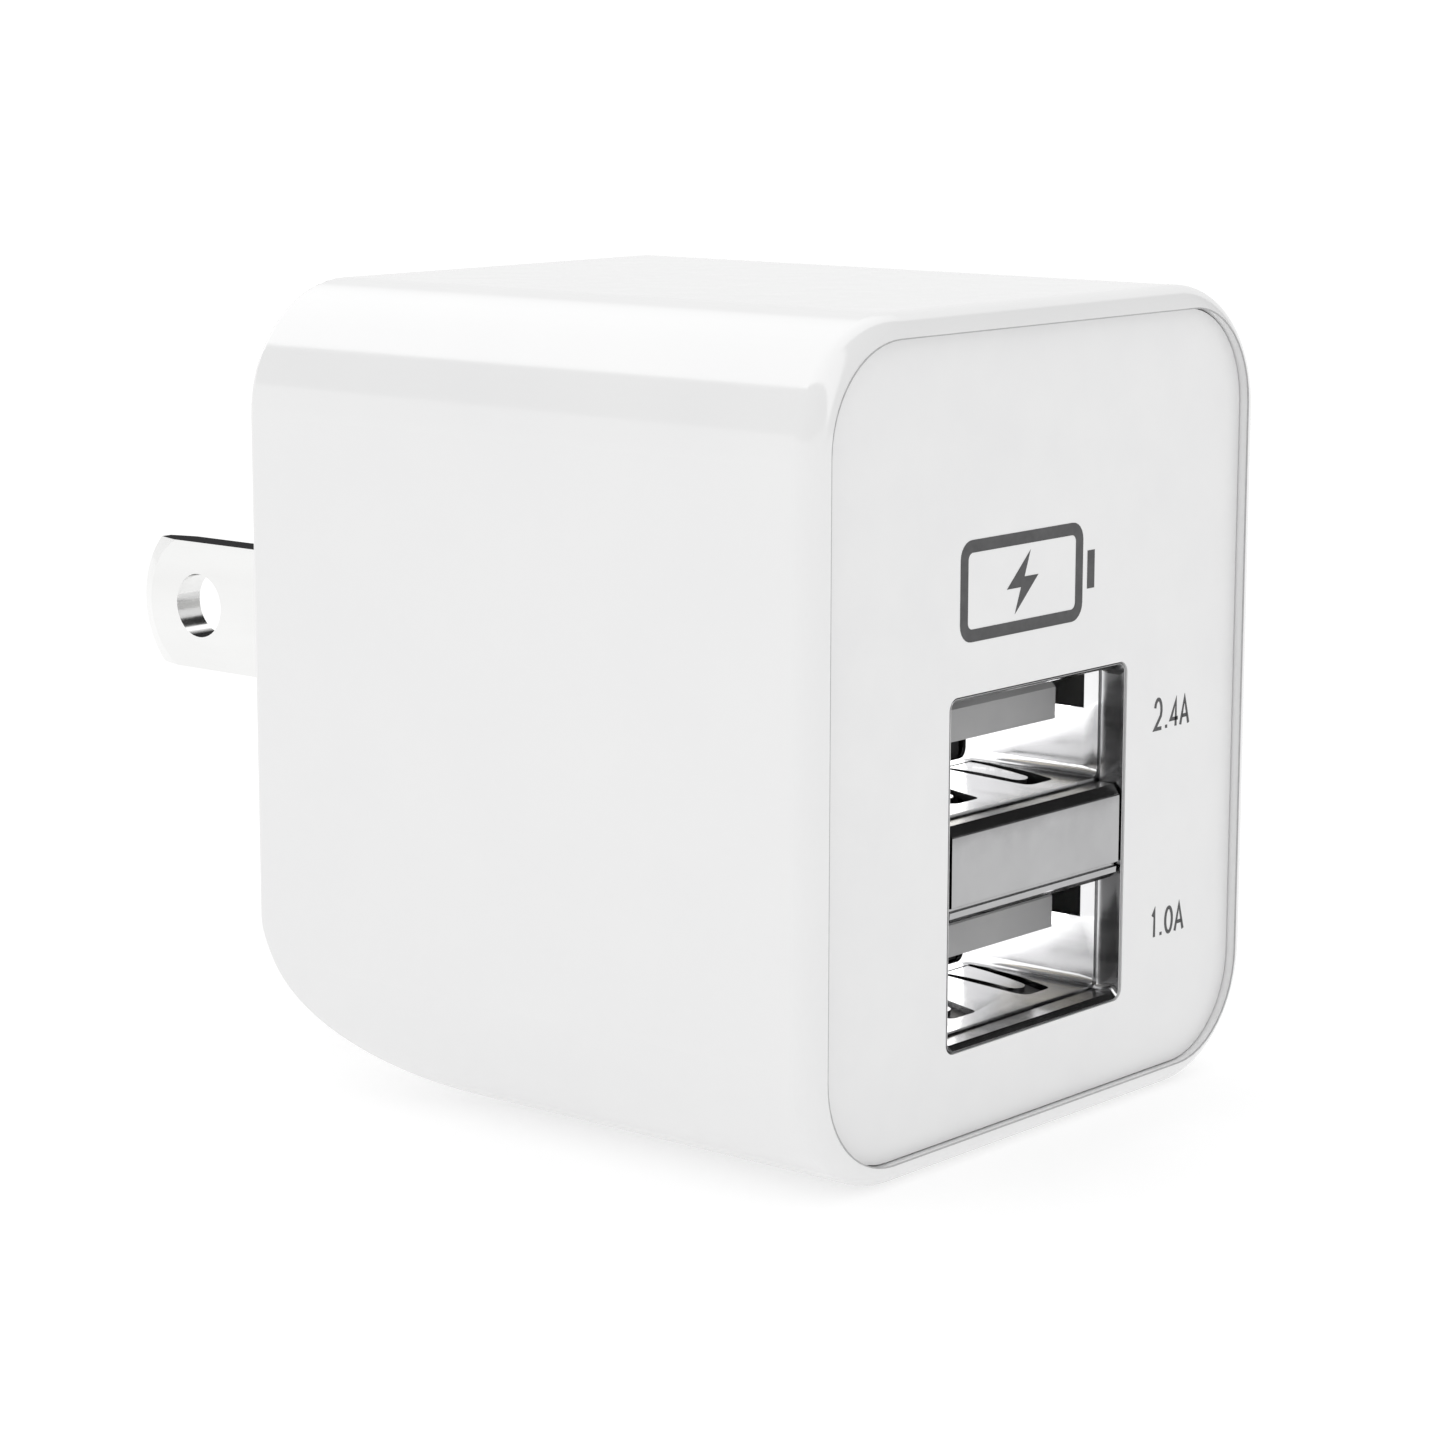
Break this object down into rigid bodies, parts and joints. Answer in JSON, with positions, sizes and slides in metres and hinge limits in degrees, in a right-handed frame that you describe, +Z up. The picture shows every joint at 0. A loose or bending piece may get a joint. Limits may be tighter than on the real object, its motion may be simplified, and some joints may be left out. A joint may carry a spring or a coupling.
{
  "type": "usb wall charger",
  "caption": "Cube wall charger with stacked USB-A ports on the front and a folding flat-blade plug behind.",
  "frame": {"origin": "centre of the flat rear face, midway between the plug blades and on their centre line", "axes": "+Y out of the rear face to the wall socket, -Y out of the front with the ports, +Z up, X across the blades"},
  "size_m": [0.033, 0.0512, 0.0371],
  "materials": {
    "white_gloss": "satin-gloss white moulded plastic",
    "panel_white": "fine matt white moulded plastic",
    "nickel_blade": "nickel-plated brass, polished",
    "tin_steel": "bright stamped sheet",
    "grey_plastic": "mid-grey moulded thermoplastic",
    "black_plastic": "black moulded plastic",
    "contact_gold": "thin gold flash on copper alloy",
    "spring_bronze": "phosphor bronze, satin",
    "zinc_steel": "zinc-plated steel",
    "board_green": "solder-masked glass-epoxy board",
    "ferrite": "sintered ferrite",
    "bobbin_black": "black phenolic moulding",
    "tape_yellow": "yellow polyester tape over windings",
    "can_sleeve": "shrink sleeve on an aluminium can",
    "ceramic_blue": "blue coated ceramic disc",
    "resistor_green": "cement-coated wirewound body",
    "paper_grey": "vulcanised fibre sheet",
    "wire_red": "PVC wire insulation"
  },
  "bodies": {
    "charger": {"main_shell": "white_gloss", "front_panel": "panel_white", "usb_shell": "tin_steel", "usb_divider": "tin_steel", "usb_insulator": "black_plastic", "port_tongue_upper": "grey_plastic", "port_tongue_lower": "grey_plastic", "usb_contacts_upper": "contact_gold", "usb_contacts_lower": "contact_gold", "rotor_bracket": "panel_white", "bracket_screws": "zinc_steel", "contact_spring_left": "spring_bronze", "contact_spring_right": "spring_bronze", "detent_spring": "zinc_steel", "output_board": "board_green", "power_board": "board_green", "output_capacitor_left": "can_sleeve", "output_capacitor_right": "can_sleeve", "output_rectifier": "black_plastic", "port_controller": "black_plastic", "link_header": "black_plastic", "transformer_core_upper": "ferrite", "transformer_core_lower": "ferrite", "transformer_bobbin": "bobbin_black", "transformer_winding": "tape_yellow", "input_capacitor_upper": "can_sleeve", "input_capacitor_lower": "can_sleeve", "safety_capacitor": "ceramic_blue", "fusible_resistor": "resistor_green", "input_inductor": "black_plastic", "bridge_rectifier": "black_plastic", "controller_chip": "black_plastic", "insulation_sheet": "paper_grey", "input_lead_left": "wire_red", "input_lead_right": "wire_red"},
    "plug": {"blade_rotor": "white_gloss", "blade_left": "nickel_blade", "blade_right": "nickel_blade"}
  },
  "joints": [
    {"name": "plug_fold", "type": "hinge", "parent": "charger", "child": "plug", "pos_m": [0, -0.0026, 0.0011], "axis": [1, 0, 0], "range_deg": [-90, 0]}
  ]
}
